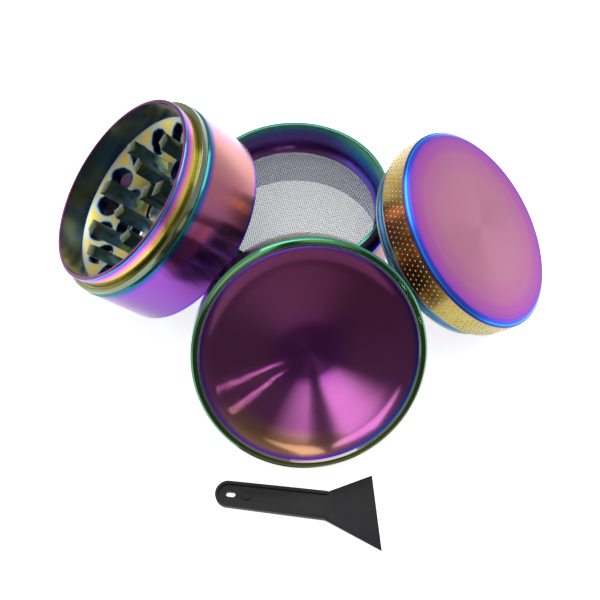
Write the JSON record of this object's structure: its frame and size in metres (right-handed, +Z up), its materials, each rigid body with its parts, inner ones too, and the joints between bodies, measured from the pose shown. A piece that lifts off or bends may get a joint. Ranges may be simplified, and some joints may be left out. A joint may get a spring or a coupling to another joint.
{
  "type": "hand herb grinder set",
  "caption": "Hand herb grinder taken apart: toothed lid, toothed grinding chamber, sieve chamber with woven screen, powder catcher and flat scraper.",
  "frame": {"origin": "on the supporting surface, in the middle of the whole layout", "axes": "+Z up, +Y away from the side that the lid and scraper lie on, +X towards the powder catcher"},
  "size_m": [0.1539, 0.1338, 0.0583],
  "materials": {
    "coated_metal": "polished",
    "tooth_metal": "polished",
    "magnet_nickel": "polished",
    "chamber_metal": "polished",
    "plate_metal": "polished",
    "ring_finish": "polished",
    "sieve_metal": "polished",
    "steel_trim": "polished",
    "steel_wire": "polished",
    "catcher_metal": "polished",
    "scraper_plastic": "matte"
  },
  "bodies": {
    "sieve": {"sieve_shell": "sieve_metal", "screen_rim": "steel_trim", "screen_mesh": "steel_wire", "screen_snap_ring": "steel_trim"},
    "lid": {"lid_shell": "coated_metal", "lid_teeth": "tooth_metal", "lid_magnet": "magnet_nickel"},
    "chamber": {"chamber_shell": "chamber_metal", "tooth_plate": "plate_metal", "chamber_teeth": "tooth_metal", "chamber_magnet": "magnet_nickel"},
    "friction_ring": {"friction_ring": "ring_finish"},
    "catcher": {"catcher_shell": "catcher_metal"},
    "scraper": {"scraper": "scraper_plastic"}
  },
  "joints": [
    {"name": "lid_lift", "type": "slide", "parent": "sieve", "child": "lid", "axis": [0.1206, -0.6862, 0.7173], "range_m": [0, 0.05]},
    {"name": "chamber_lift", "type": "slide", "parent": "sieve", "child": "chamber", "axis": [-0.6361, -0.073, 0.7681], "range_m": [0, 0.05]},
    {"name": "friction_ring_turn", "type": "hinge", "parent": "chamber", "child": "friction_ring", "pos_m": [-0.05439, 0.02643, 0.03984], "axis": [-0.6361, -0.073, 0.7681], "continuous": true},
    {"name": "catcher_lift", "type": "slide", "parent": "sieve", "child": "catcher", "axis": [0.6082, -0.129, 0.7832], "range_m": [0, 0.05]},
    {"name": "scraper_slide", "type": "slide", "parent": "sieve", "child": "scraper", "axis": [0, -1, 0], "range_m": [0, 0.05]}
  ]
}
